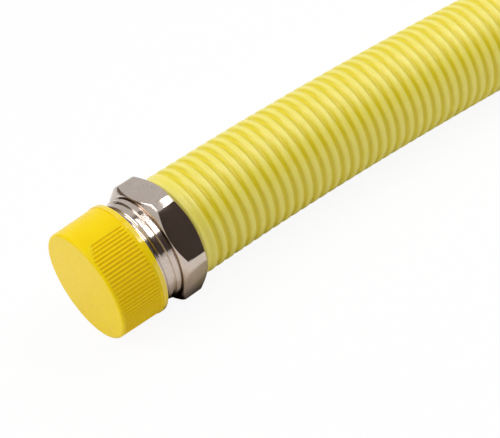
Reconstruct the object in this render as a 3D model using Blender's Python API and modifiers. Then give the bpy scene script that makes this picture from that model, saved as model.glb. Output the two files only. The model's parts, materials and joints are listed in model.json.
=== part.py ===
"""Extensible boiler hose: a yellow-sheathed stainless bellows between a capped male nipple and a swivel nut."""

import math

import bmesh
import bpy
from mathutils import Matrix, Vector

# Clearances
fit_gap = 0.0003  # between faces that touch or are fixed to each other
running_gap = 0.00025  # radial, where the nut turns on the tail

# Hose
closed_length = 0.200  # nipple's end face to tail's sealing face, along the centreline
near_bend_radius = 0.531  # the bend is tightest at the nipple and straightens towards the tail
corrugation_pitch = 0.00307
first_band = 0.0042  # plain sheath between the hexagon and the first groove
bellows_crest_radius = 0.0120
bellows_depth = 0.0020
bellows_wall = 0.0003
sheath_groove_wall = 0.00036  # thinnest sheath, at the foot of a groove
sheath_groove_depth = 0.00045
sheath_groove_share = 0.30  # of a pitch that the open groove takes

# Male nipple, from its end face to the back of its hexagon
nipple_wall = 0.0036  # bore to thread crest
thread_length = 0.0143
thread_lead = 0.0011  # chamfer at the start of the thread
relief_width = 0.0010
relief_depth = 0.0009
shoulder_width = 0.0015
shoulder_step = 0.0002  # shoulder stands this far outside the thread
undercut_width = 0.0002
undercut_depth = 0.00035
hex_step = 0.0009  # each flat stands this far outside the thread
hex_cone_length = 0.00105
hex_length = 0.0059
hex_rear_cone_length = 0.00126  # chamfer that rounds off the back of each flat
hex_rear_cone_inset = 0.0003  # its small end lies this far inside the flats
cuff_seat_depth = 0.0030  # counterbore that takes the end of the bellows
bore_step = 0.0002  # fittings' bore is this much smaller than the bellows' own

# Tail and swivel nut
tail_wall = 0.0005
flange_width = 0.00075  # seat of the nut on the back of the flange
flange_thickness = 0.0016
nut_travel = 0.0040  # bare tail between the sheath and the nut
nut_rear_wall = 0.0030
nut_length = 0.0170
nut_wall = 0.0027  # nut's bore to its flat
nut_chamfer = 0.0012
corner_trim = 0.0006  # turned off the sharp corners of both hexagons
gasket_thickness = 0.0020

# Yellow protectors
cap_wall = 0.0006  # at the closed end
cap_floor = 0.0010
cap_length = 0.01278
cap_flare = 0.00035  # radius gained from the closed end to the rim
cap_rim_step = 0.00011
cap_rim_length = 0.00128
cap_edge_radius = 0.0010
rib_pitch_angle = math.radians(360 / 84)
rib_groove_depth = 0.0002
rib_groove_width = 0.0005
rib_end_margin = 0.0004  # plain band between the ribs and the rim
smooth_panel_angle = math.radians(26)
smooth_panel_place = math.radians(15)  # one of the two, from straight down
plug_wall = 0.0010
plug_depth = 0.0080
plug_flange_width = 0.0020
plug_flange_thickness = 0.0012

# Facets round each piece
fitting_sides = 32
cap_sides = 42
sheath_sides = 18
bellows_sides = 12


def inside(radius, sides):
    """Vertex radius of a bore whose flats stay clear of a shaft of this radius."""
    return radius / math.cos(math.pi / sides)


# Radii, built outwards from the bellows
cuff_radius = bellows_crest_radius - bellows_depth
bore_radius = cuff_radius - bellows_wall - bore_step
cuff_seat_radius = inside(cuff_radius + fit_gap, fitting_sides)
sheath_bore_radius = inside(bellows_crest_radius + fit_gap, sheath_sides)
sheath_groove_radius = sheath_bore_radius + sheath_groove_wall
sheath_crest_radius = sheath_groove_radius + sheath_groove_depth
thread_radius = bore_radius + nipple_wall
nipple_half_flats = thread_radius + hex_step
nipple_corner_radius = nipple_half_flats / math.cos(math.pi / 6) - corner_trim
tail_radius = cuff_seat_radius + tail_wall
nut_hole_radius = inside(tail_radius + running_gap, fitting_sides)
flange_radius = nut_hole_radius + flange_width
nut_bore_radius = inside(flange_radius + running_gap, fitting_sides)
nut_half_flats = nut_bore_radius + nut_wall
nut_corner_radius = nut_half_flats / math.cos(math.pi / 6) - corner_trim
cap_bore_radius = inside(thread_radius + fit_gap, cap_sides)
cap_face_radius = cap_bore_radius + cap_wall
cap_rim_radius = cap_face_radius + cap_flare + cap_rim_step
plug_radius = nut_bore_radius * math.cos(math.pi / fitting_sides) - fit_gap

# Stations along the centreline, from the nipple's end face
thread_end = thread_length
relief_end = thread_end + relief_width
shoulder_end = relief_end + shoulder_width
undercut_end = shoulder_end + undercut_width
hex_front = undercut_end + hex_cone_length
hex_rear = hex_front + hex_length
nut_seat = closed_length - flange_thickness - fit_gap
nut_rear = nut_seat - nut_rear_wall
sheath_start = hex_rear + fit_gap
sheath_end = nut_rear - nut_travel
sheath_length = sheath_end - sheath_start
first_groove = sheath_start + first_band
corrugation_count = round((sheath_end - first_groove) / corrugation_pitch)
pitch = (sheath_end - first_groove) / corrugation_count
bend_start = hex_rear
bend_end = sheath_end - pitch  # tail's rear end, one pitch inside the sheath
bellows_start = hex_rear - cuff_seat_depth + fit_gap
bellows_end = bend_end + cuff_seat_depth - fit_gap


def centreline(station, steps=120):
    """Point and heading at a station. The curvature falls evenly from the nipple to nothing at the tail."""
    point = Vector((min(station, bend_start), 0, 0))
    bend_length = bend_end - bend_start
    bent = min(max(station - bend_start, 0), bend_length)
    step = bent / steps
    for index in range(steps):
        middle = (index + 0.5) * step
        heading = -(middle - middle**2 / (2 * bend_length)) / near_bend_radius
        point += step * Vector((math.cos(heading), math.sin(heading), 0))
    heading = -(bent - bent**2 / (2 * bend_length)) / near_bend_radius
    point += max(station - bend_end, 0) * Vector((math.cos(heading), math.sin(heading), 0))
    return point, heading


def clear_scene():
    for old in list(bpy.data.objects):
        bpy.data.objects.remove(old, do_unlink=True)


def new_collection(name):
    collection = bpy.data.collections.new(name)
    bpy.context.scene.collection.children.link(collection)
    return collection


def new_material(name, colour, roughness, metallic):
    material = bpy.data.materials.new(name)
    material.use_nodes = True
    shader = material.node_tree.nodes["Principled BSDF"]
    shader.inputs["Base Color"].default_value = (*colour, 1)
    shader.inputs["Roughness"].default_value = roughness
    shader.inputs["Metallic"].default_value = metallic
    return material


def new_empty(name, parent=None, location=(0, 0, 0), heading=0.0):
    empty = bpy.data.objects.new(name, None)
    parts.objects.link(empty)
    empty.empty_display_size = 0.01
    empty.parent = parent
    empty.location = location
    empty.rotation_euler = (0, 0, heading)
    return empty


def new_piece(name, mesh, parent, material):
    """A sub-part, whose origin is its parent's: the nipple's end face, or the empty on its joint's axis."""
    piece = bpy.data.objects.new(name, mesh)
    parts.objects.link(piece)
    mesh.materials.append(material)
    piece.parent = parent
    return piece


def new_helper(name, data, parent, location=(0, 0, 0)):
    """A cutter or a guide, which isn't rendered."""
    helper = bpy.data.objects.new(name, data)
    cutters.objects.link(helper)
    helper.hide_render = True
    helper.display_type = "WIRE"
    helper.parent = parent
    helper.location = location
    return helper


def profile_mesh(name, profile, is_loop=True):
    """Section of a turned piece, as (along the axis, radius): a loop, or a line that a wall or the axis closes."""
    mesh = bpy.data.meshes.new(name)
    count = len(profile)
    edges = [(index, (index + 1) % count) for index in range(count if is_loop else count - 1)]
    mesh.from_pydata([(along, 0, radius) for along, radius in profile], edges, [])
    return mesh


def turn(piece, sides):
    screw = piece.modifiers.new("Turn", "SCREW")
    screw.axis = "X"
    screw.steps = sides
    screw.render_steps = sides
    screw.use_smooth_shade = True
    screw.use_normal_flip = True
    screw.use_merge_vertices = True
    screw.merge_threshold = 0.00001


def cut(piece, cutter, operation="DIFFERENCE"):
    boolean = piece.modifiers.new("Cut", "BOOLEAN")
    boolean.operation = operation
    boolean.object = cutter


def bend(piece, guide):
    modifier = piece.modifiers.new("Follow centreline", "CURVE")
    modifier.object = guide
    modifier.deform_axis = "POS_X"


def apply_shape(piece, sharp_angle=35):
    """Makes the modifiers' result the piece's own mesh, smooth but for its edges."""
    graph = bpy.context.evaluated_depsgraph_get()
    shaped = bpy.data.meshes.new_from_object(piece.evaluated_get(graph))
    piece.modifiers.clear()
    piece.data = shaped
    shaped.shade_smooth()
    shaped.set_sharp_from_angle(angle=math.radians(sharp_angle))


def hex_prism(name, half_flats, length, parent, location):
    """Six-sided bar along X with a flat facing straight down."""
    mesh = bpy.data.meshes.new(name)
    shape = bmesh.new()
    lie_along_x = Matrix.Rotation(math.pi / 2, 4, "Y")
    corner = half_flats / math.cos(math.pi / 6)
    bmesh.ops.create_cone(
        shape, cap_ends=True, segments=6, radius1=corner, radius2=corner, depth=length, matrix=lie_along_x
    )
    shape.to_mesh(mesh)
    shape.free()
    return new_helper(name, mesh, parent, location)


def make_nipple(parent, material):
    """Turned blank with a bore and a cuff seat, milled to a hexagon. Its thread is left as the crest cylinder."""
    relief_radius = thread_radius - relief_depth
    shoulder_radius = thread_radius + shoulder_step
    undercut_radius = shoulder_radius - undercut_depth
    ramp = relief_width / 5
    profile = [
        (0, bore_radius),
        (0, thread_radius - thread_lead),
        (thread_lead, thread_radius),
        (thread_end, thread_radius),
        (thread_end + ramp, relief_radius),
        (relief_end - ramp, relief_radius),
        (relief_end, shoulder_radius),
        (shoulder_end, shoulder_radius),
        (shoulder_end, undercut_radius),
        (undercut_end, undercut_radius),
        (undercut_end, shoulder_radius + shoulder_step),
        (hex_front, nipple_corner_radius),
        (hex_rear - hex_rear_cone_length, nipple_corner_radius),
        (hex_rear, nipple_half_flats - hex_rear_cone_inset),
        (hex_rear, cuff_seat_radius),
        (hex_rear - cuff_seat_depth, cuff_seat_radius),
        (hex_rear - cuff_seat_depth, bore_radius),
    ]
    nipple = new_piece("male_nipple", profile_mesh("male_nipple", profile), parent, material)
    turn(nipple, fitting_sides)
    bar = hex_prism("nipple_hex_bar", nipple_half_flats, 4 * hex_rear, parent, (hex_rear / 2, 0, 0))
    cut(nipple, bar, "INTERSECT")
    return nipple


def make_cap(parent, material):
    """Thin push-on cup with a rounded closed edge, fine grip grooves and a plain rim."""
    rim_start = cap_length - cap_rim_length
    arc = [math.radians(angle) for angle in (0, 30, 60, 90)]
    edge_centre = cap_face_radius - cap_edge_radius
    profile = [(0, 0)]
    profile += [
        (cap_edge_radius * (1 - math.cos(a)), edge_centre + cap_edge_radius * math.sin(a)) for a in arc
    ]
    profile += [
        (rim_start, cap_face_radius + cap_flare),
        (rim_start, cap_rim_radius),
        (cap_length, cap_rim_radius),
        (cap_length, cap_bore_radius),
        (cap_floor, cap_bore_radius),
        (cap_floor, 0),
    ]
    cap = new_piece("male_cap", profile_mesh("male_cap", profile, is_loop=False), parent, material)
    turn(cap, cap_sides)
    cut(cap, grip_grooves(parent, cap_edge_radius, rim_start - rib_end_margin))
    return cap


def grip_grooves(parent, start, end):
    """One wedge for each groove round the cap, all but those in its two smooth panels."""
    mesh = bpy.data.meshes.new("grip_grooves")
    shape = bmesh.new()
    slope = math.atan2(cap_flare, end - start)
    wedge_height = 2 * rib_groove_depth
    half_width = rib_groove_width / 2 * wedge_height / rib_groove_depth
    surface = (cap_face_radius + cap_flare * (start + end) / (2 * cap_length)) * math.cos(math.pi / cap_sides / 2)
    for index in range(round(2 * math.pi / rib_pitch_angle)):
        angle = index * rib_pitch_angle
        from_panel = (angle - smooth_panel_place + math.pi / 2) % math.pi - math.pi / 2
        if abs(from_panel) < smooth_panel_angle / 2:
            continue
        place = (
            Matrix.Rotation(angle, 4, "X")
            @ Matrix.Translation(((start + end) / 2, 0, -surface + rib_groove_depth))
            @ Matrix.Rotation(slope, 4, "Y")
        )
        wedge(shape, end - start, half_width, wedge_height, place)
    shape.to_mesh(mesh)
    shape.free()
    return new_helper("grip_grooves", mesh, parent)


def wedge(shape, length, half_width, height, place):
    """Three-sided bar along X, its sharp edge at the origin and its open side facing -Z."""
    circumradius = 2 * height / 3
    narrow = half_width / (circumradius * math.cos(math.pi / 6))
    local = (
        Matrix.Translation((0, 0, -circumradius))
        @ Matrix.Diagonal((1, narrow, 1, 1))
        @ Matrix.Rotation(math.pi / 2, 4, "X")
        @ Matrix.Rotation(-math.pi / 2, 4, "Y")
    )
    bmesh.ops.create_cone(
        shape,
        cap_ends=True,
        segments=3,
        radius1=circumradius,
        radius2=circumradius,
        depth=length,
        matrix=place @ local,
    )


def make_guide(parent):
    """Centreline of the hose, for the bellows and the sheath to follow."""
    data = bpy.data.curves.new("hose_centreline", "CURVE")
    data.dimensions = "3D"
    data.twist_mode = "Z_UP"
    stations = 90
    spline = data.splines.new("POLY")
    spline.points.add(stations)
    for index in range(stations + 1):
        station = bellows_start + (sheath_end - bellows_start) * index / stations
        point, _ = centreline(station)
        spline.points[index].co = (*point, 1)
    return new_helper("hose_centreline", data, parent)


def make_bellows(parent, material, guide):
    """Thin corrugated tube with a plain cuff at each end, V-folded like the closed-up original."""
    profile = [(0, cuff_radius), (first_groove - bellows_start, cuff_radius)]
    for index in range(corrugation_count - 1):
        start = first_groove + index * pitch - bellows_start
        profile += [(start + pitch / 2, bellows_crest_radius), (start + pitch, cuff_radius)]
    profile.append((bellows_end - bellows_start, cuff_radius))
    bellows = new_piece("bellows", profile_mesh("bellows", profile, is_loop=False), parent, material)
    turn(bellows, bellows_sides)
    wall = bellows.modifiers.new("Wall", "SOLIDIFY")
    wall.thickness = bellows_wall
    wall.offset = -1
    bend(bellows, guide)
    return bellows


def make_sheath(parent, material, guide):
    """Plastic coat: broad round crests parted by narrow grooves, smooth inside."""
    start = sheath_start - bellows_start
    half_groove = pitch * sheath_groove_share / 2
    profile = [(start, sheath_crest_radius - sheath_groove_depth)]
    profile.append((start + half_groove, sheath_crest_radius))
    for index in range(corrugation_count):
        groove = first_groove - bellows_start + index * pitch
        profile += [
            (groove - half_groove, sheath_crest_radius),
            (groove, sheath_groove_radius),
            (groove + half_groove, sheath_crest_radius),
        ]
    end = start + sheath_length
    profile += [(end - half_groove, sheath_crest_radius), (end, sheath_crest_radius - sheath_groove_depth)]
    bore_rings = corrugation_count // 4
    for index in range(bore_rings + 1):
        profile.append((end - sheath_length * index / bore_rings, sheath_bore_radius))
    sheath = new_piece("sheath", profile_mesh("sheath", profile), parent, material)
    turn(sheath, sheath_sides)
    bend(sheath, guide)
    return sheath


def make_tail(parent, material):
    """Drawn collar: cuff seat at the back, bore, and the sealing flange at the front. Its origin is the flange face."""
    rear = bend_end - closed_length
    profile = [
        (rear, cuff_seat_radius),
        (rear, tail_radius),
        (-flange_thickness, tail_radius),
        (-flange_thickness, flange_radius),
        (0, flange_radius),
        (0, bore_radius),
        (rear + cuff_seat_depth, bore_radius),
        (rear + cuff_seat_depth, cuff_seat_radius),
    ]
    tail = new_piece("tail", profile_mesh("tail", profile), parent, material)
    turn(tail, fitting_sides)
    return tail


def make_gasket(parent, material):
    """Flat ring that lies in the nut against the flange."""
    front = fit_gap + gasket_thickness
    profile = [
        (fit_gap, bore_radius),
        (fit_gap, flange_radius),
        (front, flange_radius),
        (front, bore_radius),
    ]
    gasket = new_piece("gasket", profile_mesh("gasket", profile), parent, material)
    turn(gasket, fitting_sides)
    return gasket


def make_nut(parent, material):
    """Hexagon nut with a rear wall that holds behind the flange. Its thread is left as a plain bore."""
    rear = nut_rear - closed_length
    seat = nut_seat - closed_length
    front = rear + nut_length
    end_radius = nut_half_flats - nut_chamfer / 4
    profile = [
        (rear, nut_hole_radius),
        (rear, end_radius),
        (rear + nut_chamfer, nut_corner_radius),
        (front - nut_chamfer, nut_corner_radius),
        (front, end_radius),
        (front, nut_bore_radius + nut_wall / 5),
        (front - nut_wall / 5, nut_bore_radius),
        (seat, nut_bore_radius),
        (seat, nut_hole_radius),
    ]
    nut = new_piece("swivel_nut", profile_mesh("swivel_nut", profile), parent, material)
    turn(nut, fitting_sides)
    bar = hex_prism("nut_hex_bar", nut_half_flats, 4 * nut_length, parent, (rear + nut_length / 2, 0, 0))
    cut(nut, bar, "INTERSECT")
    return nut


def make_plug(parent, material):
    """Push-in cup, closed by its outer disc. Its origin is the back of the disc, against the nut's mouth."""
    flange = plug_radius + plug_flange_width
    profile = [
        (plug_flange_thickness, 0),
        (plug_flange_thickness, flange - plug_flange_thickness / 3),
        (plug_flange_thickness * 2 / 3, flange),
        (0, flange),
        (0, plug_radius),
        (plug_wall - plug_depth, plug_radius),
        (-plug_depth, plug_radius - plug_wall / 2),
        (-plug_depth, plug_radius - plug_wall),
        (0, plug_radius - plug_wall),
        (0, 0),
    ]
    profile.reverse()
    plug = new_piece("female_plug", profile_mesh("female_plug", profile, is_loop=False), parent, material)
    turn(plug, fitting_sides)
    return plug


def seat_on_floor(root, pieces):
    """Puts the row's origin at the bottom centre of the whole hose."""
    bpy.context.view_layer.update()
    corners = [piece.matrix_world @ vertex.co for piece in pieces for vertex in piece.data.vertices]
    low = [min(corner[axis] for corner in corners) for axis in range(3)]
    high = [max(corner[axis] for corner in corners) for axis in range(3)]
    root.location = (-(low[0] + high[0]) / 2, -(low[1] + high[1]) / 2, -low[2])


clear_scene()
parts = new_collection("boiler_flexible_hose")
cutters = new_collection("cutters")

steel = new_material("nickel_steel", (0.48, 0.44, 0.41), 0.28, 1.0)
stainless = new_material("stainless", (0.60, 0.58, 0.55), 0.25, 1.0)
bright_nut = new_material("nut_nickel", (0.48, 0.44, 0.41), 0.30, 1.0)
sheath_yellow = new_material("sheath_yellow", (0.86, 0.78, 0.18), 0.45, 0.0)
cap_yellow = new_material("cap_yellow", (0.95, 0.70, 0.01), 0.50, 0.0)
plug_yellow = new_material("plug_yellow", (0.95, 0.70, 0.01), 0.50, 0.0)
seal_black = new_material("seal_black", (0.03, 0.03, 0.03), 0.70, 0.0)

root = new_empty("hose_root")
cap_axis = new_empty("cap_axis", root, (-cap_floor - fit_gap, 0, 0))
tail_point, tail_heading = centreline(closed_length)
tail_axis = new_empty("tail_axis", root, tail_point, tail_heading)
nut_axis = new_empty("nut_axis", tail_axis)
plug_axis = new_empty("plug_axis", nut_axis, (nut_rear + nut_length - closed_length + fit_gap, 0, 0))

centreline_guide = make_guide(root)
pieces = [
    make_cap(cap_axis, cap_yellow),
    make_nipple(root, steel),
    make_bellows(root, stainless, centreline_guide),
    make_sheath(root, sheath_yellow, centreline_guide),
    make_tail(tail_axis, stainless),
    make_gasket(tail_axis, seal_black),
    make_nut(nut_axis, bright_nut),
    make_plug(plug_axis, plug_yellow),
]
for piece in pieces:
    apply_shape(piece)
seat_on_floor(root, pieces)
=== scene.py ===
# Extensible boiler hose with its two yellow protectors, lying on a pale table
import json
import math

import bmesh
import bpy
import numpy as np
from mathutils import Matrix, Vector


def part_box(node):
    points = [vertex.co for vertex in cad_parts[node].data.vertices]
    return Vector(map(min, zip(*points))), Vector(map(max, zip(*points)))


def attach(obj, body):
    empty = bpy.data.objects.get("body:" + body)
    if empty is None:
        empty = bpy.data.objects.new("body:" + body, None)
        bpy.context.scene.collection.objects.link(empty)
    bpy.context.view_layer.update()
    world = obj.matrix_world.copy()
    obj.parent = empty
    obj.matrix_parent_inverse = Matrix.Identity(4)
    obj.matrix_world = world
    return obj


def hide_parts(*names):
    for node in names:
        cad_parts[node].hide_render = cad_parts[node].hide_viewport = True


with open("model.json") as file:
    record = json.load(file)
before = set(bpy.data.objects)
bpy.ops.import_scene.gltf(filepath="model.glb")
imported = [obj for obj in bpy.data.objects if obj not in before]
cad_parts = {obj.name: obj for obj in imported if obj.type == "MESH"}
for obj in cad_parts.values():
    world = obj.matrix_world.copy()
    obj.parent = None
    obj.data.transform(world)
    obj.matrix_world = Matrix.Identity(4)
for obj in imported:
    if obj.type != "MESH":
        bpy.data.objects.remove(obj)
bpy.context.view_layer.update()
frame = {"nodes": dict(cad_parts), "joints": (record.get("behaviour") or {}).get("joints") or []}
mm = 0.001
print("frame loaded:", len(frame["nodes"]), "nodes")

# Where things are: stations are millimetres along the hose from the nipple's end face
jointList = {joint["name"]: joint for joint in frame["joints"]}
nippleLow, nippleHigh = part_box("male_nipple")
nosePoint = Vector((nippleLow.x, (nippleLow.y + nippleHigh.y) / 2, (nippleLow.z + nippleHigh.z) / 2))
capPoint = Vector((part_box("male_cap")[0].x, nosePoint.y, nosePoint.z))
tailPoint = Vector(jointList["nut_spin"]["pos_m"])
tailAxis = Vector(jointList["nut_spin"]["axis"])
tailHeading = math.atan2(tailAxis.y, tailAxis.x)
hoseRun = {
    "closedLength": 200.0,
    "bendStart": (nippleHigh.x - nippleLow.x) / mm,  # back of the hexagon
    "bendEnd": 188.03,
    "nearBendRadius": 531.0,  # it straightens evenly towards the tail
    "tableBeyond": 15.0,
    "tableStep": 0.05,
}


def makeCentreline(run):
    # stations, points and headings in a table, to be read between its lines
    stations = np.arange(0, run["closedLength"] + run["tableBeyond"], run["tableStep"])
    bendLength = run["bendEnd"] - run["bendStart"]
    bent = np.clip(stations - run["bendStart"], 0, bendLength)
    headings = -(bent - bent**2 / (2 * bendLength)) / run["nearBendRadius"]
    middle = (headings[1:] + headings[:-1]) / 2
    alongX = np.concatenate([[0], np.cumsum(np.cos(middle) * run["tableStep"])])
    alongY = np.concatenate([[0], np.cumsum(np.sin(middle) * run["tableStep"])])
    return stations, alongX, alongY, headings


hoseTable = makeCentreline(hoseRun)


def followHose(local):
    # local x is the station, y to the left and z up, all in millimetres
    stations, alongX, alongY, headings = hoseTable
    x = np.interp(local[:, 0], stations, alongX)
    y = np.interp(local[:, 0], stations, alongY)
    heading = np.interp(local[:, 0], stations, headings)
    placed = np.stack([x - np.sin(heading) * local[:, 1], y + np.cos(heading) * local[:, 1], local[:, 2]], 1)
    return placed * mm + np.array(nosePoint)


def straightFrom(origin, heading=0.0):
    # local x runs along the heading from this point, in millimetres
    turn = np.array(Matrix.Rotation(heading, 3, "Z"))
    return lambda local: local @ turn.T * mm + np.array(origin)


# Camera: fitted to the photograph's hexagon, cap and hose outline
cameraView = {
    "fromCapFace": (-0.090642, -0.219638, 0.164585),
    "tiltDegrees": (55.015, 12.4616, -40.8251),
    "lens": 90.388,
    "sensor": 36.0,
    "clip": (0.01, 20.0),
}
cameraData = bpy.data.cameras.new("photoCamera")
cameraData.lens = cameraView["lens"]
cameraData.sensor_width = cameraView["sensor"]
cameraData.clip_start, cameraData.clip_end = cameraView["clip"]
camera = bpy.data.objects.new("photoCamera", cameraData)
camera.location = capPoint + Vector(cameraView["fromCapFace"])
camera.rotation_euler = [math.radians(angle) for angle in cameraView["tiltDegrees"]]
bpy.context.scene.collection.objects.link(camera)
bpy.context.scene.camera = camera
print("camera placed")

# Mesh making: a pole's radius is in millimetres, the other distances in metres
meshLimits = {"pole": 1e-6, "poleJoin": 1e-8, "flatFace": 1e-9, "milledJoin": 1e-7}


def spinMesh(name, outline, sides, place, carve=None, closed=True):
    # outline is (along, radius) in millimetres; carve changes the radii
    # and says how deep in a groove each point lies
    along = np.array([point[0] for point in outline], float)
    radius = np.array([point[1] for point in outline], float)
    turns = np.arange(sides) * 2 * math.pi / sides
    radii = np.repeat(radius[:, None], sides, axis=1)
    depth = np.zeros_like(radii)
    if carve:
        radii, depth = carve(along[:, None], turns[None, :], radii)
    stations = np.repeat(along[:, None], sides, axis=1)
    local = np.stack([stations, -radii * np.cos(turns), radii * np.sin(turns)], -1).reshape(-1, 3)
    rings = len(outline)
    ring, side = np.meshgrid(np.arange(rings if closed else rings - 1), np.arange(sides), indexing="ij")
    nextRing, nextSide = (ring + 1) % rings, (side + 1) % sides
    near, far = ring * sides, nextRing * sides
    quads = np.stack([near + side, near + nextSide, far + nextSide, far + side], -1).reshape(-1, 4)
    mesh = bpy.data.meshes.new(name)
    mesh.from_pydata(place(local).tolist(), [], quads.tolist())
    writeAttributes(mesh, local, depth.ravel())
    tidyMesh(mesh, radius)
    return mesh


def writeAttributes(mesh, local, depth=None):
    # the place before bending, which the textures follow, and the depth in a groove
    straight = mesh.attributes.get("straight") or mesh.attributes.new("straight", "FLOAT_VECTOR", "POINT")
    straight.data.foreach_set("vector", np.asarray(local, np.float32).ravel())
    groove = mesh.attributes.get("groove") or mesh.attributes.new("groove", "FLOAT", "POINT")
    plain = np.zeros(len(local), np.float32)
    groove.data.foreach_set("value", plain if depth is None else depth.astype(np.float32))


def tidyMesh(mesh, radius):
    # closes the poles and turns every face outwards
    shape = bmesh.new()
    shape.from_mesh(mesh)
    if radius.min() < meshLimits["pole"]:
        bmesh.ops.remove_doubles(shape, verts=shape.verts, dist=meshLimits["poleJoin"])
        bmesh.ops.dissolve_degenerate(shape, edges=shape.edges, dist=meshLimits["flatFace"])
    bmesh.ops.recalc_face_normals(shape, faces=shape.faces)
    shape.to_mesh(mesh)
    shape.free()


def addPiece(name, mesh, material, body, nodes, sharpDegrees):
    mesh.shade_smooth()
    mesh.set_sharp_from_angle(angle=math.radians(sharpDegrees))
    piece = bpy.data.objects.new(name, mesh)
    bpy.context.scene.collection.objects.link(piece)
    mesh.materials.append(material)
    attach(piece, body)
    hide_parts(*nodes)
    print("made", name, "with", len(mesh.polygons), "faces")
    return piece


def spread(start, end, step):
    # evenly spaced values from start to end, about a step apart
    count = max(1, round(abs(end - start) / step))
    return [start + (end - start) * index / count for index in range(count + 1)]


def around(corner, offsets):
    # points of an outline, given by how far they lie from one of its corners
    return [(corner[0] + along, corner[1] + outward) for along, outward in offsets]


def roundedCorner(along, radius, size, steps, inward=1):
    # from the end face round to the outside; inward is the way the piece lies from its face
    angles = [step / steps * math.pi / 2 for step in range(steps + 1)]
    return [(along + inward * size * (1 - math.cos(a)), radius - size * (1 - math.sin(a))) for a in angles]


# Hexagons: the bar stands past the ends, and only edges near the flats are broken
hexMill = {
    "barExtra": 40.0, "beyond": 1.0, "nearFlats": 0.5, "leastDegrees": 34.0, "segments": 2, "profile": 0.5,
}


def makeHexBar(halfFlats, low, high, place):
    # long hexagonal bar with a flat facing down
    bar = bpy.data.meshes.new("hexBar")
    shape = bmesh.new()
    corner = halfFlats / math.cos(math.pi / 6)
    length = high - low + hexMill["barExtra"]
    alongX = Matrix.Translation(((low + high) / 2, 0, 0)) @ Matrix.Rotation(math.pi / 2, 4, "Y")
    bmesh.ops.create_cone(
        shape, cap_ends=True, segments=6, radius1=corner, radius2=corner, depth=length, matrix=alongX,
    )
    shape.to_mesh(bar)
    shape.free()
    points = np.array([vertex.co for vertex in bar.vertices])
    bar.vertices.foreach_set("co", place(points).ravel())
    return bar


def cutToBar(mesh, bar):
    # the turned blank and the bar have this in common
    blank = bpy.data.objects.new("blank", mesh)
    cutter = bpy.data.objects.new("hexBar", bar)
    for helper in (blank, cutter):
        bpy.context.scene.collection.objects.link(helper)
    cut = blank.modifiers.new("Mill", "BOOLEAN")
    cut.operation = "INTERSECT"
    cut.object = cutter
    graph = bpy.context.evaluated_depsgraph_get()
    milled = bpy.data.meshes.new_from_object(blank.evaluated_get(graph))
    for helper in (blank, cutter):
        bpy.data.objects.remove(helper, do_unlink=True)
    return milled


def millHexagon(mesh, halfFlats, low, high, place, edge):
    # turned blank cut to a hexagon, its edges broken
    milled = cutToBar(mesh, makeHexBar(halfFlats, low, high, place))
    shape = bmesh.new()
    shape.from_mesh(milled)
    bmesh.ops.remove_doubles(shape, verts=shape.verts, dist=meshLimits["milledJoin"])
    origin, ahead = place(np.array([[0.0, 0, 0], [1.0, 0, 0]]))
    direction = (ahead - origin) / mm
    leastAngle = math.radians(hexMill["leastDegrees"])
    broken = []
    for line in shape.edges:
        fromOrigin = (np.array(line.verts[0].co + line.verts[1].co) / 2 - origin) / mm
        station = fromOrigin @ direction
        reach = np.linalg.norm(fromOrigin - direction * station)
        isNear = low < station < high and reach > halfFlats - hexMill["nearFlats"]
        if isNear and line.calc_face_angle(0) > leastAngle:
            broken.append(line)
    bmesh.ops.bevel(
        shape, geom=broken, offset=edge * mm, segments=hexMill["segments"], profile=hexMill["profile"],
        affect="EDGES", clamp_overlap=True,
    )
    shape.to_mesh(milled)
    shape.free()
    co = np.array([vertex.co for vertex in milled.vertices])
    turn = np.stack([direction, [-direction[1], direction[0], 0], [0, 0, 1]], 0)
    writeAttributes(milled, (co - origin) @ turn.T / mm)
    return milled


def softMin(first, second, blend):
    # smaller of the two, rounded where they meet
    meet = np.maximum(blend - np.abs(first - second), 0) / blend
    return np.minimum(first, second) - meet * meet * blend / 4


# Pipe thread G 3/4, shared by the nipple and the nut
pipeThread = {
    "pitch": 1.814, "fullDepth": 1.162, "crestTrim": 0.6, "flankDegrees": 27.5, "rounding": 0.25,
    "crestAt": 13.85, "crestTurn": 30.0,  # a crest passes this station at this turn
}
pipeThread["depth"] = pipeThread["fullDepth"] * (1 + pipeThread["crestTrim"]) / 2


def threadHeight(along, turns, thread):
    # 0 at the root to 1 at the crest; the helix is right-handed
    phase = (along - thread["crestAt"]) / thread["pitch"]
    phase = phase + (turns - math.radians(thread["crestTurn"])) / (2 * math.pi)
    fromCrest = np.abs((phase + 0.5) % 1 - 0.5)
    full = thread["pitch"] / 2 / math.tan(math.radians(thread["flankDegrees"]))
    half = thread["fullDepth"] / 2
    crest = half * thread["crestTrim"]
    height = softMin(full * (0.5 - 2 * fromCrest), crest, thread["rounding"])
    height = -softMin(-height, half, thread["rounding"])
    return (height + half) / (half + crest)


# Shader groups
surfaceLook = {
    "fineDetail": 3.0, "broadDetail": 2.0, "broadScale": 0.12, "mottleGain": 2.0, "grainGain": 2.5,
    "lineDetail": 4.0, "toneOffset": -0.1,
}


def newGroup(name, inputs, outputs):
    group = bpy.data.node_groups.new(name, "ShaderNodeTree")
    for label, kind, value in inputs:
        socket = group.interface.new_socket(name=label, in_out="INPUT", socket_type=kind)
        if value is not None:
            socket.default_value = value
    for label, kind in outputs:
        group.interface.new_socket(name=label, in_out="OUTPUT", socket_type=kind)
    return group, group.nodes.new("NodeGroupInput").outputs, group.nodes.new("NodeGroupOutput").inputs


def feed(tree, socket, value):
    # another socket is linked to this one, and a constant is set on it
    if isinstance(value, bpy.types.NodeSocket):
        tree.links.new(value, socket)
    else:
        socket.default_value = value


def mathNode(tree, operation, first, second, clamp=False):
    node = tree.nodes.new("ShaderNodeMath")
    node.operation = operation
    node.use_clamp = clamp
    feed(tree, node.inputs[0], first)
    feed(tree, node.inputs[1], second)
    return node.outputs[0]


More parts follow.
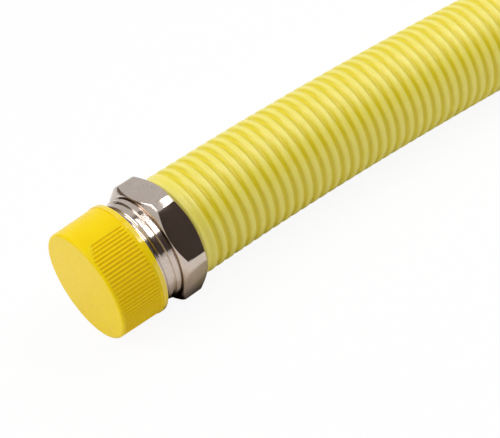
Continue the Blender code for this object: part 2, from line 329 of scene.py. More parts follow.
def addNoise(tree, place, scale, detail):
    noise = tree.nodes.new("ShaderNodeTexNoise")
    feed(tree, noise.inputs["Vector"], place)
    feed(tree, noise.inputs["Scale"], scale)
    feed(tree, noise.inputs["Detail"], detail)
    return noise.outputs["Fac"]


def widened(tree, value, gain):
    # spreads noise that gathers about a half over more of the range
    stretched = mathNode(tree, "MULTIPLY", mathNode(tree, "SUBTRACT", value, 0.5), gain)
    return mathNode(tree, "ADD", stretched, 0.5, clamp=True)


def makeSpeckleGroup(look):
    # fine grain of a moulded or plated surface, in two sizes
    group, given, result = newGroup(
        "fineSpeckle",
        [("Place", "NodeSocketVector", None), ("Grains per mm", "NodeSocketFloat", 4.0),
         ("Broad share", "NodeSocketFloat", 0.4)],
        [("Height", "NodeSocketFloat"), ("Mottle", "NodeSocketFloat"), ("Grain", "NodeSocketFloat")],
    )
    fine = addNoise(group, given["Place"], given["Grains per mm"], look["fineDetail"])
    broadScale = mathNode(group, "MULTIPLY", given["Grains per mm"], look["broadScale"])
    broad = addNoise(group, given["Place"], broadScale, look["broadDetail"])
    share = mathNode(group, "MULTIPLY", broad, given["Broad share"])
    feed(group, result["Height"], mathNode(group, "ADD", fine, share))
    feed(group, result["Mottle"], widened(group, broad, look["mottleGain"]))
    feed(group, result["Grain"], widened(group, fine, look["grainGain"]))
    return group


def makeToolLinesGroup(look):
    # marks left by a tool: rings round a turned face, or lines along a drawn bar
    group, given, result = newGroup(
        "toolLines",
        [("Place", "NodeSocketVector", None), ("Stretch", "NodeSocketVector", (8.0, 0.3, 0.3)),
         ("Sharpness", "NodeSocketFloat", 1.0)],
        [("Height", "NodeSocketFloat")],
    )
    scaled = group.nodes.new("ShaderNodeVectorMath")
    scaled.operation = "MULTIPLY"
    feed(group, scaled.inputs[0], given["Place"])
    feed(group, scaled.inputs[1], given["Stretch"])
    lines = addNoise(group, scaled.outputs[0], 1.0, look["lineDetail"])
    feed(group, result["Height"], widened(group, lines, given["Sharpness"]))
    return group


def colourMix(tree, share, first, second):
    blend = tree.nodes.new("ShaderNodeMix")
    blend.data_type = "RGBA"
    firstColour, secondColour = [socket for socket in blend.inputs if socket.type == "RGBA"]
    feed(tree, blend.inputs[0], share)
    feed(tree, firstColour, first)
    feed(tree, secondColour, second)
    return [socket for socket in blend.outputs if socket.type == "RGBA"][0]


def makeToneGroup(look):
    # colour from crest to groove: painted shade darkens the grooves, and a slow random drift in tone runs
    # over the surface
    group, given, result = newGroup(
        "grooveShadeAndMottle",
        [("Crest colour", "NodeSocketColor", (0.8, 0.8, 0.8, 1)),
         ("Groove shade and mottle colour", "NodeSocketColor", (0.4, 0.4, 0.4, 1)),
         ("Groove", "NodeSocketFloat", 0.0), ("Mottle", "NodeSocketFloat", 0.5),
         ("Drift", "NodeSocketFloat", 0.1), ("Grain", "NodeSocketFloat", 0.5),
         ("Speckle", "NodeSocketFloat", 0.1)],
        [("Colour", "NodeSocketColor")],
    )
    drift = mathNode(group, "MULTIPLY", given["Mottle"], given["Drift"])
    speckle = mathNode(group, "MULTIPLY", given["Grain"], given["Speckle"])
    varied = mathNode(group, "ADD", mathNode(group, "ADD", drift, speckle), look["toneOffset"])
    share = mathNode(group, "ADD", given["Groove"], varied, clamp=True)
    feed(group, result["Colour"], colourMix(group, share, given["Crest colour"], given["Groove shade and mottle colour"]))
    return group


speckleGroup = makeSpeckleGroup(surfaceLook)
toolLinesGroup = makeToolLinesGroup(surfaceLook)
toneGroup = makeToneGroup(surfaceLook)


# Materials
def newMaterial(name):
    material = bpy.data.materials.new(name)
    material.use_nodes = True
    return material, material.node_tree, material.node_tree.nodes["Principled BSDF"]


def placeGroup(tree, group, values):
    node = tree.nodes.new("ShaderNodeGroup")
    node.node_tree = group
    for label, value in values.items():
        feed(tree, node.inputs[label], value)
    return node.outputs


def readAttribute(tree, name, output):
    node = tree.nodes.new("ShaderNodeAttribute")
    node.attribute_name = name
    return node.outputs[output]


def addBump(tree, shader, height, distance):
    bump = tree.nodes.new("ShaderNodeBump")
    bump.inputs["Distance"].default_value = distance * mm
    bump.inputs["Strength"].default_value = 1.0
    feed(tree, bump.inputs["Height"], height)
    feed(tree, shader.inputs["Normal"], bump.outputs["Normal"])


def roughnessFrom(tree, shader, value, low, high):
    ranged = tree.nodes.new("ShaderNodeMapRange")
    ranged.inputs["To Min"].default_value = low
    ranged.inputs["To Max"].default_value = high
    feed(tree, ranged.inputs["Value"], value)
    feed(tree, shader.inputs["Roughness"], ranged.outputs["Result"])


def pastStation(tree, place, station):
    # 1 where the piece lies past this station, and 0 before it
    parts = tree.nodes.new("ShaderNodeSeparateXYZ")
    feed(tree, parts.inputs[0], place)
    return mathNode(tree, "GREATER_THAN", parts.outputs[0], station)


def drawnOrTurned(tree, place, settings):
    # rings on the turned part, and lines along the bar from the hexagon on
    pick = tree.nodes.new("ShaderNodeMix")
    pick.data_type = "VECTOR"
    feed(tree, pick.inputs[0], pastStation(tree, place, settings["drawnFrom"]))
    turned, drawn = [socket for socket in pick.inputs if socket.type == "VECTOR"][-2:]
    turned.default_value = settings["lineStretch"]
    drawn.default_value = settings["drawnStretch"]
    return [socket for socket in pick.outputs if socket.type == "VECTOR"][0]


def polishRim(tree, shader, place, settings):
    # the smooth rim is glossier than the moulded sides
    onRim = pastStation(tree, place, settings["polishedFrom"])
    feed(tree, shader.inputs["Coat Weight"], mathNode(tree, "MULTIPLY", onRim, settings["polish"]))
    shader.inputs["Coat Roughness"].default_value = settings["polishRoughness"]
    shader.inputs["Coat IOR"].default_value = settings["polishIndex"]


def finishMaterial(name, settings):
    # grooves darkened as painted shade, fine grain and the lines left by the tool or the mould
    material, tree, shader = newMaterial(name)
    shader.inputs["Metallic"].default_value = settings["metallic"]
    shader.inputs["Specular IOR Level"].default_value = settings["specular"]
    shader.inputs["Specular Tint"].default_value = (*settings["specularTint"], 1)
    place = readAttribute(tree, "straight", "Vector")
    grain = placeGroup(tree, speckleGroup, {
        "Place": place, "Grains per mm": settings["grains"], "Broad share": settings["broadShare"],
    })
    stretch = drawnOrTurned(tree, place, settings) if "drawnFrom" in settings else settings["lineStretch"]
    lines = placeGroup(tree, toolLinesGroup, {
        "Place": place, "Stretch": stretch, "Sharpness": settings["lineSharpness"],
    })
    tone = placeGroup(tree, toneGroup, {
        "Crest colour": (*settings["crest"], 1), "Groove shade and mottle colour": (*settings["groove"], 1),
        "Groove": readAttribute(tree, "groove", "Fac"), "Mottle": grain["Mottle"], "Drift": settings["drift"],
        "Grain": grain["Grain"], "Speckle": settings["speckle"],
    })
    feed(tree, shader.inputs["Base Color"], tone["Colour"])
    lineShare = mathNode(tree, "MULTIPLY", lines["Height"], settings["lineShare"])
    addBump(tree, shader, mathNode(tree, "ADD", grain["Height"], lineShare), settings["bump"])
    roughnessFrom(tree, shader, grain["Height"], *settings["roughness"])
    if "polishedFrom" in settings:
        polishRim(tree, shader, place, settings)
    return material


# Yellow cap on the male end
capShape = {
    "face": 14.04, "edge": 0.7, "edgeSteps": 8, "faceRing": 0.3, "flare": 0.3, "rimStep": 0.18,
    "rimLength": 1.28, "length": 12.78, "bore": 13.44, "floor": 1.0,
    "ribs": 93, "sidesPerRib": 9, "ribDepth": 0.2, "ribFirst": 0.4, "ribSlant": 1.8, "ribLast": 11.15,
    "ribFade": 0.55, "ribSharpness": 1.6, "ribTurn": 1.06,
    "panelWidth": 60.0, "panelPlace": 97.2, "slantWidth": 17.0,
    # rings from the face on, then evenly, then close together up to the rim
    "faceRings": (0.85, 1.0, 1.2, 1.5, 1.8, 2.1, 2.4, 2.8), "evenFrom": 3.5, "evenStep": 1.0,
    "beforeRim": (0.75, 0.15), "beforeRimStep": 0.1,
    # the rounding of each corner
    "rimFoot": ((-0.06, -0.04), (0, -0.05)), "rimFront": ((0.05, -0.04), (0.1, 0), (0.13, 0)),
    "rimBack": ((-0.18, 0), (-0.15, 0), (-0.04, -0.04), (0, -0.15)), "mouthEdge": ((0, 0.12), (-0.12, 0)),
    "floorEdge": ((0.4, -0.1), (0, -0.5)),
}
# the groove colour is painted shade that darkens the rib grooves; where there are no grooves it is a random
# drift in tone
capFinish = {
    "metallic": 0.0, "crest": (0.95, 0.71, 0.004), "groove": (0.86, 0.54, 0.001),
    "drift": 0.3, "speckle": 0.25, "grains": 3.2, "broadShare": 0.5,
    "lineStretch": (0.12, 1.3, 1.3), "lineSharpness": 1.3, "lineShare": 1.1,
    "bump": 0.012, "roughness": (0.16, 0.3), "specular": 0.14, "specularTint": (1.0, 0.97, 0.6),
    "polishedFrom": 11.55, "polish": 1.0, "polishRoughness": 0.1, "polishIndex": 1.62,
}


def carveRibs(along, turns, radii):
    shape = capShape
    ribs = np.cos(shape["ribs"] * (turns - math.radians(shape["ribTurn"])))
    groove = 0.5 - 0.5 * np.tanh(shape["ribSharpness"] * ribs) / math.tanh(shape["ribSharpness"])
    place = math.radians(shape["panelPlace"])
    fromPanel = np.abs((turns - place + math.pi / 2) % math.pi - math.pi / 2)
    halfPanel = math.radians(shape["panelWidth"] / 2)
    groove = np.where(fromPanel < halfPanel, 0, groove)
    # the ribs next to a smooth panel start further from the face
    besidePanel = np.clip(1 - (fromPanel - halfPanel) / math.radians(shape["slantWidth"]), 0, 1)
    first = shape["ribFirst"] + shape["ribSlant"] * besidePanel
    fadeIn = np.clip((along - first) / shape["ribFade"], 0, 1)
    fadeOut = np.clip((shape["ribLast"] - along) / (shape["ribFade"] / 2), 0, 1)
    outer = radii > shape["face"] - shape["edge"]
    # the share also darkens the colour in the rib grooves as painted shade
    share = groove * fadeIn * fadeOut * outer
    return radii - share * shape["ribDepth"], share


def makeCap():
    shape = capShape
    centre = shape["face"] - shape["edge"]
    rimStart = shape["length"] - shape["rimLength"]
    foot = shape["face"] + shape["flare"]
    rim = foot + shape["rimStep"]
    slope = shape["flare"] / (rimStart - shape["edge"])
    rings = [*shape["faceRings"], *spread(shape["evenFrom"], rimStart - shape["evenStep"], shape["evenStep"])]
    firstGap, lastGap = shape["beforeRim"]
    rings += spread(rimStart - firstGap, rimStart - lastGap, shape["beforeRimStep"])
    outline = [(0, 0), (0, centre / 2), (0, centre - shape["faceRing"])]
    outline += roundedCorner(0, shape["face"], shape["edge"], shape["edgeSteps"])
    outline += [(along, shape["face"] + slope * (along - shape["edge"])) for along in rings]
    outline += around((rimStart, foot), shape["rimFoot"]) + around((rimStart, rim), shape["rimFront"])
    outline += around((shape["length"], rim), shape["rimBack"])
    outline += around((shape["length"], shape["bore"]), shape["mouthEdge"])
    outline += around((shape["floor"], shape["bore"]), shape["floorEdge"]) + [(shape["floor"], 0)]
    sides = shape["ribs"] * shape["sidesPerRib"]
    mesh = spinMesh("male_cap_moulded", outline, sides, straightFrom(capPoint), carve=carveRibs, closed=False)
    material = finishMaterial("capYellow", capFinish)
    return addPiece("male_cap_moulded", mesh, material, "cap", ["male_cap"], sharpDegrees=40)


# Male nipple: thread, relief, shoulder and hexagon
nippleShape = {
    "bore": 9.5, "boreEdge": 0.2, "crest": 13.1, "lead": 1.0, "leadMargin": 0.1,
    "runOut": 10.8, "lastDepth": 0.08, "threadEnd": 14.08, "threadStep": 0.1,
    "relief": 12.85, "reliefEnd": 15.08, "ramp": 0.1, "shoulder": 13.3, "shoulderEnd": 16.38,
    "frontEdge": 0.04, "backEdge": 0.05, "undercut": 12.85, "undercutEnd": 16.7,
    "coneStart": 13.88, "hexFront": 18.05, "corner": 15.566, "rearCone": 1.16, "rearRadius": 13.7,
    "seatDepth": 3.0, "seat": 10.35, "halfFlats": 14.0, "brokenEdge": 0.06, "sides": 216,
}
nickelFinish = {
    "metallic": 1.0, "crest": (0.69, 0.60, 0.54), "groove": (0.36, 0.28, 0.22), "drift": 0.2, "speckle": 0.45,
    "grains": 3.6, "broadShare": 0.3, "lineStretch": (9.0, 0.15, 0.15), "drawnFrom": 16.8,
    "drawnStretch": (0.5, 6.0, 6.0), "lineSharpness": 1.4, "lineShare": 0.6, "bump": 0.007,
    "roughness": (0.06, 0.16), "specular": 0.5, "specularTint": (1.0, 1.0, 1.0),
}


def carveNippleThread(along, turns, radii):
    # the thread runs out before the relief
    shape = nippleShape
    height = threadHeight(along, turns, pipeThread)
    past = np.clip((along - shape["runOut"]) / (shape["threadEnd"] - shape["runOut"]), 0, 1)
    depth = pipeThread["depth"] * (1 - (1 - shape["lastDepth"]) * past)
    threaded = shape["crest"] - depth * (1 - height)
    onNose = radii > shape["crest"] - shape["lead"] - shape["leadMargin"]
    inThread = (along < shape["threadEnd"] + shape["ramp"]) & onNose
    return np.where(inThread, np.minimum(radii, threaded), radii), np.zeros_like(radii)


def makeNipple():
    shape = nippleShape
    bore, crest, shoulder, relief = shape["bore"], shape["crest"], shape["shoulder"], shape["relief"]
    reliefEnd, shoulderEnd, undercutEnd = shape["reliefEnd"], shape["shoulderEnd"], shape["undercutEnd"]
    hexRear = hoseRun["bendStart"]
    seatStart = hexRear - shape["seatDepth"]
    outline = [(0, bore + shape["boreEdge"]), (0, crest - shape["lead"])]
    threadRings = spread(shape["threadStep"], shape["threadEnd"], shape["threadStep"])
    outline += [(along, min(crest, crest - shape["lead"] + along)) for along in threadRings]
    outline += [
        (shape["threadEnd"] + shape["ramp"], relief), (reliefEnd - shape["ramp"], relief),
        (reliefEnd, relief + shape["ramp"]), (reliefEnd, shoulder - shape["frontEdge"]),
        (reliefEnd + shape["frontEdge"], shoulder), (shoulderEnd - shape["backEdge"], shoulder),
        (shoulderEnd, shoulder - shape["backEdge"]), (shoulderEnd, shape["undercut"]),
        (undercutEnd, shape["undercut"]), (undercutEnd, shape["coneStart"]),
        (shape["hexFront"], shape["corner"]), (hexRear - shape["rearCone"], shape["corner"]),
        (hexRear, shape["rearRadius"]), (hexRear, shape["seat"]), (seatStart, shape["seat"]),
        (seatStart, bore), (shape["boreEdge"], bore),
    ]
    place = straightFrom(nosePoint)
    blank = spinMesh("male_nipple_turned", outline, shape["sides"], place, carve=carveNippleThread)
    high = hexRear + hexMill["beyond"]
    milled = millHexagon(blank, shape["halfFlats"], shoulderEnd, high, place, shape["brokenEdge"])
    material = finishMaterial("nickelSteel", nickelFinish)
    return addPiece(
        "male_nipple_turned", milled, material, "hose", ["male_nipple"], sharpDegrees=22,
    )


# Yellow sheath, on the hose's body
sheathShape = {
    "start": 24.25, "end": 191.1, "crest": 13.3, "depth": 0.7, "grooves": (25.95, 28.5, 31.4),
    "faintGroove": 0.25, "pitch": 3.07, "grooveFloor": 0.33, "nearWall": 0.5, "farWall": 0.85,
    "nearRings": 4, "farRings": 5,
    "bore": 12.3, "lipBore": 11.2, "lipLength": 2.6, "lipSlope": 0.6, "boreFrom": 2.0, "lipRound": 0.25,
    "sides": 120, "diameter": 26.6, "routeStep": 5.0,
}
# the groove colour is painted shade, darker and deeper yellow in the grooves than on the crests
sheathFinish = {
    "metallic": 0.0, "crest": (0.92, 0.82, 0.17), "groove": (0.80, 0.665, 0.016),
    "drift": 0.25, "speckle": 0.2, "grains": 2.6, "broadShare": 0.4,
    "lineStretch": (3.2, 0.2, 0.2), "lineSharpness": 2.0, "lineShare": 1.1,
    "bump": 0.04, "roughness": (0.22, 0.36), "specular": 0.6, "specularTint": (1.0, 0.98, 0.85),
}


def grooveStations(shape):
    # the first groove is faint, the next two are as seen and the rest are even
    first, second, third = shape["grooves"]
    count = round((shape["end"] - third) / shape["pitch"])
    step = (shape["end"] - third) / count
    evenGrooves = [(third + index * step, 1.0) for index in range(count)]
    return [(first, shape["faintGroove"]), (second, 1.0)] + evenGrooves


def grooveDepthAt(station, shape, grooves):
    # 1 on a groove's flat floor and 0 on the crests; the wall towards the nut slopes more gently
    place, share = min(grooves, key=lambda groove: abs(station - groove[0]))
    offset = station - place
    wall = shape["nearWall"] if offset < 0 else shape["farWall"]
    climb = min(1, max(0, (abs(offset) - shape["grooveFloor"]) / wall))
    return share * (1 - climb * climb * (3 - 2 * climb))


def sheathStations(shape, grooves):
    # rings close together on the walls and wide apart on the floors and crests
    grooveFloor, nearWall, farWall = shape["grooveFloor"], shape["nearWall"], shape["farWall"]
    near, far = grooveFloor + nearWall, grooveFloor + farWall
    last = shape["end"] - shape["lipRound"]
    stations = [shape["start"], shape["start"] + shape["lipRound"]]
    for place in [groove[0] for groove in grooves]:
        stations += [place - offset for offset in spread(near, grooveFloor, nearWall / shape["nearRings"])]
        stations.append(place)
        stations += [place + offset for offset in spread(grooveFloor, far, farWall / shape["farRings"])]
        stations.append(place + (far + shape["pitch"] - near) / 2)
    return [station for station in stations if station < last] + [last]


def makeSheath():
    shape = sheathShape
    grooves = grooveStations(shape)
    stations = sheathStations(shape, grooves)
    depths = np.array([grooveDepthAt(station, shape, grooves) for station in stations])
    outline = [(station, shape["crest"] - shape["depth"] * depth) for station, depth in zip(stations, depths)]
    outline[0] = (shape["start"], shape["crest"] - shape["lipRound"])
    outline.append((shape["end"], shape["crest"] - shape["lipRound"]))
    lip = shape["end"] - shape["lipLength"]
    outline += [(shape["end"], shape["lipBore"]), (lip, shape["lipBore"])]
    outline.append((lip - shape["lipSlope"], shape["bore"]))
    boreRings = spread(lip - shape["boreFrom"], shape["start"], 2 * shape["pitch"])
    outline += [(station, shape["bore"]) for station in boreRings]
    # the depth also darkens the colour in the grooves as painted shade
    grooveDepth = np.zeros(len(outline))
    grooveDepth[: len(depths)] = depths  # the lip and the bore stay plain

    def noteDepth(along, turns, radii):
        return radii, np.repeat(grooveDepth[:, None], radii.shape[1], axis=1)

    mesh = spinMesh("sheath_corrugated", outline, shape["sides"], followHose, carve=noteDepth)
    material = finishMaterial("sheathYellow", sheathFinish)
    return addPiece("sheath_corrugated", mesh, material, "hose", ["sheath"], sharpDegrees=50)


# Stainless bellows inside the sheath, seen down the bores
bellowsShape = {
    "start": 21.25, "firstFold": 28.45, "lastFold": 188.03, "end": 190.73, "folds": 52, "inner": 10.0,
    "crest": 12.0, "wall": 0.3, "pointsPerFold": 8, "sides": 48,
}
stainlessFinish = {
    "metallic": 1.0, "crest": (0.62, 0.60, 0.57), "groove": (0.5, 0.48, 0.45), "drift": 0.2, "speckle": 0.2,
    "grains": 3.0, "broadShare": 0.4, "lineStretch": (6.0, 0.2, 0.2), "lineSharpness": 1.2, "lineShare": 0.5,
    "bump": 0.004, "roughness": (0.16, 0.32), "specular": 0.5, "specularTint": (1.0, 1.0, 1.0),
}


def makeBellows(material):
    shape = bellowsShape
    fold = (shape["lastFold"] - shape["firstFold"]) / shape["folds"]
    outer = [(shape["start"], shape["inner"])]
    for index in range(shape["folds"]):
        for point in range(shape["pointsPerFold"]):
            share = point / shape["pointsPerFold"]
            rise = (shape["crest"] - shape["inner"]) * (0.5 - 0.5 * math.cos(2 * math.pi * share))
            outer.append((shape["firstFold"] + (index + share) * fold, shape["inner"] + rise))
    outer += [(shape["lastFold"], shape["inner"]), (shape["end"], shape["inner"])]
    inner = [(along, radius - shape["wall"]) for along, radius in reversed(outer)]
    mesh = spinMesh("bellows_folded", outer + inner, shape["sides"], followHose)
    return addPiece("bellows_folded", mesh, material, "hose", ["bellows"], sharpDegrees=60)


# Drawn tail and its gasket
tailShape = {
    "rear": -11.97, "outside": 10.85, "seat": 10.35, "seatDepth": 3.0, "bore": 9.5, "flange": 11.9,
    "flangeThickness": 1.6, "round": 0.25, "halfRound": 0.08, "sides": 96,
}
gasketShape = {"back": 0.3, "front": 2.3, "inside": 9.5, "outside": 11.9, "round": 0.2, "sides": 96}
sealFinish = {
    "metallic": 0.0, "crest": (0.035, 0.034, 0.033), "groove": (0.02, 0.02, 0.02),
    "drift": 0.5, "speckle": 0.3, "grains": 5.0, "broadShare": 0.5,
    "lineStretch": (1.0, 1.0, 1.0), "lineSharpness": 1.0, "lineShare": 0.3,
    "bump": 0.03, "roughness": (0.6, 0.85), "specular": 0.4, "specularTint": (1.0, 1.0, 1.0),
}


def makeTail(material):
    shape = tailShape
    rear, outside, flange, bore = shape["rear"], shape["outside"], shape["flange"], shape["bore"]
    back, seatEnd = -shape["flangeThickness"], rear + shape["seatDepth"]
    trim, half = shape["round"], shape["halfRound"]
    outline = [
        (rear, shape["seat"]), (rear, outside), (back - trim, outside),
        (back - half, outside + half), (back, outside + trim), (back, flange - trim),
        (back + half, flange - half), (back + trim, flange), (-trim, flange),
        (-half, flange - half), (0, flange - trim), (0, bore + trim),
        (-half, bore + half), (-trim, bore), (seatEnd, bore), (seatEnd, shape["seat"]),
    ]
    mesh = spinMesh("tail_drawn", outline, shape["sides"], straightFrom(tailPoint, tailHeading))
    return addPiece("tail_drawn", mesh, material, "hose", ["tail"], sharpDegrees=35)


def makeGasket():
    shape = gasketShape
    back, front, inside, outside = shape["back"], shape["front"], shape["inside"], shape["outside"]
    trim = shape["round"]
    outline = [
        (back, inside + trim), (back, outside - trim), (back + trim, outside), (front - trim, outside),
        (front, outside - trim), (front, inside + trim), (front - trim, inside), (back + trim, inside),
    ]
    mesh = spinMesh("gasket_pressed", outline, shape["sides"], straightFrom(tailPoint, tailHeading))
    material = finishMaterial("sealBlack", sealFinish)
    return addPiece("gasket_pressed", mesh, material, "hose", ["gasket"], sharpDegrees=50)


# Swivel nut with its inside thread
nutShape = {
    "rear": -4.9, "seat": -1.9, "front": 12.1, "hole": 11.154, "bore": 12.21, "corner": 16.62,
    "halfFlats": 14.912, "chamfer": 1.2, "faceRadius": 14.61, "faceRing": 0.2, "mouth": 12.75,
    "threadStart": 2.6, "threadFade": 0.9, "threadShare": 0.85, "threadStep": 0.12,
    "firstRing": 0.02, "margin": 0.01, "brokenEdge": 0.06, "sides": 192,
}
nutFinish = dict(nickelFinish, drawnFrom=-20.0, roughness=(0.07, 0.18))


def carveNutThread(along, turns, radii):
    shape = nutShape
    depth = threadHeight(along, turns, pipeThread) * pipeThread["depth"] * shape["threadShare"]
    fade = np.clip((along - shape["threadStart"]) / shape["threadFade"], 0, 1)
    inThread = (radii < shape["mouth"] + shape["margin"]) & (radii > shape["bore"] - shape["margin"])
    cut = shape["bore"] + depth * fade
    return np.where(inThread, np.maximum(radii, cut), radii), np.zeros_like(radii)


def makeNut():
    shape = nutShape
    rear, front, corner, faceRadius = shape["rear"], shape["front"], shape["corner"], shape["faceRadius"]
    outline = [
        (rear, shape["hole"]), (rear, faceRadius), (rear + shape["chamfer"], corner),
        (front - shape["chamfer"], corner), (front, faceRadius), (front, shape["mouth"] + shape["faceRing"]),
    ]
    for along in spread(front - shape["firstRing"], shape["seat"], shape["threadStep"]):
        bevel = shape["mouth"] - (front - along)
        outline.append((along, max(shape["bore"], bevel)))
    outline.append((shape["seat"], shape["hole"]))
    place = straightFrom(tailPoint, tailHeading)
    blank = spinMesh("swivel_nut_turned", outline, shape["sides"], place, carve=carveNutThread)
    low, high = rear - hexMill["beyond"], front + hexMill["beyond"]
    milled = millHexagon(blank, shape["halfFlats"], low, high, place, shape["brokenEdge"])
    material = finishMaterial("nutNickel", nutFinish)
    return addPiece(
        "swivel_nut_turned", milled, material, "nut", ["swivel_nut"], sharpDegrees=22,
    )


# Push-in plug in the nut's mouth
plugShape = {
    "radius": 11.85, "wall": 1.0, "depth": 8.0, "flange": 13.85, "flangeThickness": 1.2, "clearance": 0.352,
    "faceRing": 0.9, "round": 0.4, "roundSteps": 4, "sides": 128,
    # the rounding of each corner
    "flangeBack": ((0.08, 0), (0, -0.1)), "neck": ((0, 0.15), (-0.15, 0)),
    "tipOutside": ((0.1, -0.45), (0, -0.55)), "tipInside": ((0, 0.05), (0.1, 0)),
}
plugFinish = dict(capFinish, polishedFrom=-0.05)


def makePlug():
    shape = plugShape
    face, flange, radius, tip = shape["flangeThickness"], shape["flange"], shape["radius"], -shape["depth"]
    inside = radius - shape["wall"]
    outline = [(face, 0), (face, flange - shape["faceRing"])]
    outline += roundedCorner(face, flange, shape["round"], shape["roundSteps"], inward=-1)
    outline += around((0, flange), shape["flangeBack"]) + around((0, radius), shape["neck"])
    outline += [(tip + shape["wall"], radius)] + around((tip, radius), shape["tipOutside"])
    outline += around((tip, inside), shape["tipInside"]) + [(0, inside), (0, 0)]
    origin = tailPoint + tailAxis * (nutShape["front"] + shape["clearance"]) * mm
    place = straightFrom(origin, tailHeading)
    mesh = spinMesh("female_plug_moulded", outline, shape["sides"], place, closed=False)
    material = finishMaterial("plugYellow", plugFinish)
    return addPiece(
        "female_plug_moulded", mesh, material, "plug", ["female_plug"], sharpDegrees=40,
    )


sheath = makeSheath()
makeCap()
makeNipple()
stainless = finishMaterial("stainlessSteel", stainlessFinish)
makeBellows(stainless)
makeTail(stainless)
makeGasket()
makeNut()
makePlug()

# Studio: pale floor, one large soft light above and dark cards that the metal mirrors
studio = {
    "floorSize": 6.0, "floorColour": 0.9, "floorToCamera": 0.93, "worldLevel": 0.62, "worldInMetal": 0.7,
    "topLamp": {
        "centre": (0.25, -0.2125, 0.6), "aim": (0.25, -0.2125, 0.0), "size": (0.15, 0.575), "level": 7.0,
    },
    "leftLamp": {
        "centre": (-0.62, 0.22, 0.68), "aim": (-0.07, 0.01, 0.02), "size": (0.5, 0.5), "level": 4.2,
    },
    "cards": {
        "darkFront": {
            "colour": (0.065, 0.052, 0.046),
            "corners": [(-1.0, -0.5, 0.055), (1.2, -0.5, 0.055), (1.2, -0.5, 0.598), (-1.0, -0.5, 0.598)],
        },
        "darkStrip": {
            "colour": (0.25, 0.21, 0.18),
            "corners": [(0.1, 0.085, 0.6), (0.5, 0.085, 0.6), (0.5, 0.18, 0.6), (0.1, 0.18, 0.6)],
        },
        "darkBack": {
            "colour": (0.2, 0.16, 0.12),
            "corners": [(-1.0, 0.6, 0.002), (-0.15, 0.6, 0.002), (-0.15, 0.6, 0.62), (-1.0, 0.6, 0.62)],
        },
    },
    "deepShadow": {
        "corners": [(-0.095, -0.006, 0.0003), (-0.03, -0.006, 0.0003), (-0.03, 0.022, 0.0003),
                    (-0.095, 0.022, 0.0003)],
        "outer": (0.82, 0.76, 0.7), "inner": (0.03, 0.026, 0.023), "fade": (0.0, 0.0032),
    },
}


def flatCard(name, corners, material):
    mesh = bpy.data.meshes.new(name)
    mesh.from_pydata(corners, [], [(0, 1, 2, 3)])
    mesh.materials.append(material)
    card = bpy.data.objects.new(name, mesh)
    bpy.context.scene.collection.objects.link(card)
    return card


def floorMaterial(settings):
    # the camera sees it nearly white, and the object still throws its shadow on it
    material, tree = newMaterial("paleFloor")[:2]
    tree.nodes.clear()
    output = tree.nodes.new("ShaderNodeOutputMaterial")
    diffuse = tree.nodes.new("ShaderNodeBsdfDiffuse")
    diffuse.inputs["Color"].default_value = (*[settings["floorColour"]] * 3, 1)
    glow = tree.nodes.new("ShaderNodeEmission")
    toCamera = tree.nodes.new("ShaderNodeLightPath").outputs["Is Camera Ray"]
    mix = tree.nodes.new("ShaderNodeMixShader")
    feed(tree, mix.inputs["Fac"], mathNode(tree, "MULTIPLY", toCamera, settings["floorToCamera"]))
    feed(tree, mix.inputs[1], diffuse.outputs[0])
    feed(tree, mix.inputs[2], glow.outputs[0])
    feed(tree, output.inputs["Surface"], mix.outputs[0])
    return material


def cardMaterial(name, colour):
    material = newMaterial(name)[0]
    shader = material.node_tree.nodes["Principled BSDF"]
    shader.inputs["Base Color"].default_value = (*colour, 1)
    shader.inputs["Roughness"].default_value = 1.0
    shader.inputs["Specular IOR Level"].default_value = 0.0
    return material


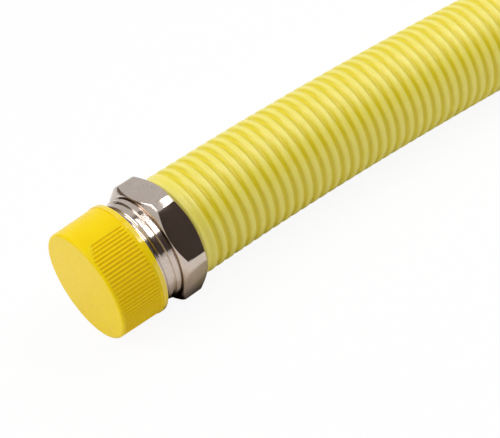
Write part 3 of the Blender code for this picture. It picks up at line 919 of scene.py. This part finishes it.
def shadowMaterial(settings):
    # what the hexagon mirrors of the floor darkens towards the line where it stands
    material = cardMaterial("deepShadow", settings["outer"])
    tree = material.node_tree
    parts = tree.nodes.new("ShaderNodeSeparateXYZ")
    feed(tree, parts.inputs[0], tree.nodes.new("ShaderNodeNewGeometry").outputs["Position"])
    fade = tree.nodes.new("ShaderNodeMapRange")
    fade.inputs["From Min"].default_value, fade.inputs["From Max"].default_value = settings["fade"]
    feed(tree, fade.inputs["Value"], parts.outputs[1])
    mixed = colourMix(tree, fade.outputs["Result"], (*settings["outer"], 1), (*settings["inner"], 1))
    feed(tree, tree.nodes["Principled BSDF"].inputs["Base Color"], mixed)
    return material


def makeLamp(name, settings):
    # an even softbox whose surface has the level given, where 1 shows as white
    lamp = bpy.data.lights.new(name, "AREA")
    lamp.shape = "RECTANGLE"
    lamp.size, lamp.size_y = settings["size"]
    lamp.energy = settings["level"] * math.pi * lamp.size * lamp.size_y
    softbox = bpy.data.objects.new(name, lamp)
    softbox.location = settings["centre"]
    backwards = Vector(settings["centre"]) - Vector(settings["aim"])
    softbox.rotation_euler = backwards.to_track_quat("Z", "Y").to_euler()
    bpy.context.scene.collection.objects.link(softbox)


def makeWorld(settings):
    # white to the camera, a little dimmer in the metal and a plain level on the object
    world = bpy.data.worlds.new("paleRoom")
    bpy.context.scene.world = world
    world.use_nodes = True
    tree = world.node_tree
    background = tree.nodes["Background"]
    background.inputs["Color"].default_value = (1, 1, 1, 1)
    path = tree.nodes.new("ShaderNodeLightPath")
    level, inMetal = settings["worldLevel"], settings["worldInMetal"]
    toCamera = mathNode(tree, "MULTIPLY", path.outputs["Is Camera Ray"], 1 - level)
    toMetal = mathNode(tree, "MULTIPLY", path.outputs["Is Glossy Ray"], inMetal - level)
    strength = mathNode(tree, "ADD", mathNode(tree, "ADD", toCamera, toMetal), level)
    feed(tree, background.inputs["Strength"], strength)


def makeStudio(settings):
    half = settings["floorSize"] / 2
    floorCorners = [(-half, -half, 0), (half, -half, 0), (half, half, 0), (-half, half, 0)]
    flatCard("paleFloor", floorCorners, floorMaterial(settings))
    for name, card in settings["cards"].items():
        flatCard(name, card["corners"], cardMaterial(name, card["colour"])).visible_camera = False
    shadow = settings["deepShadow"]
    deepShadow = flatCard("deepShadow", shadow["corners"], shadowMaterial(shadow))
    deepShadow.visible_camera = False
    deepShadow.visible_diffuse = False
    deepShadow.visible_shadow = False
    makeLamp("topLamp", settings["topLamp"])
    makeLamp("leftLamp", settings["leftLamp"])
    makeWorld(settings)


makeStudio(studio)
bpy.context.scene.view_settings.view_transform = "Standard"
print("studio ready")
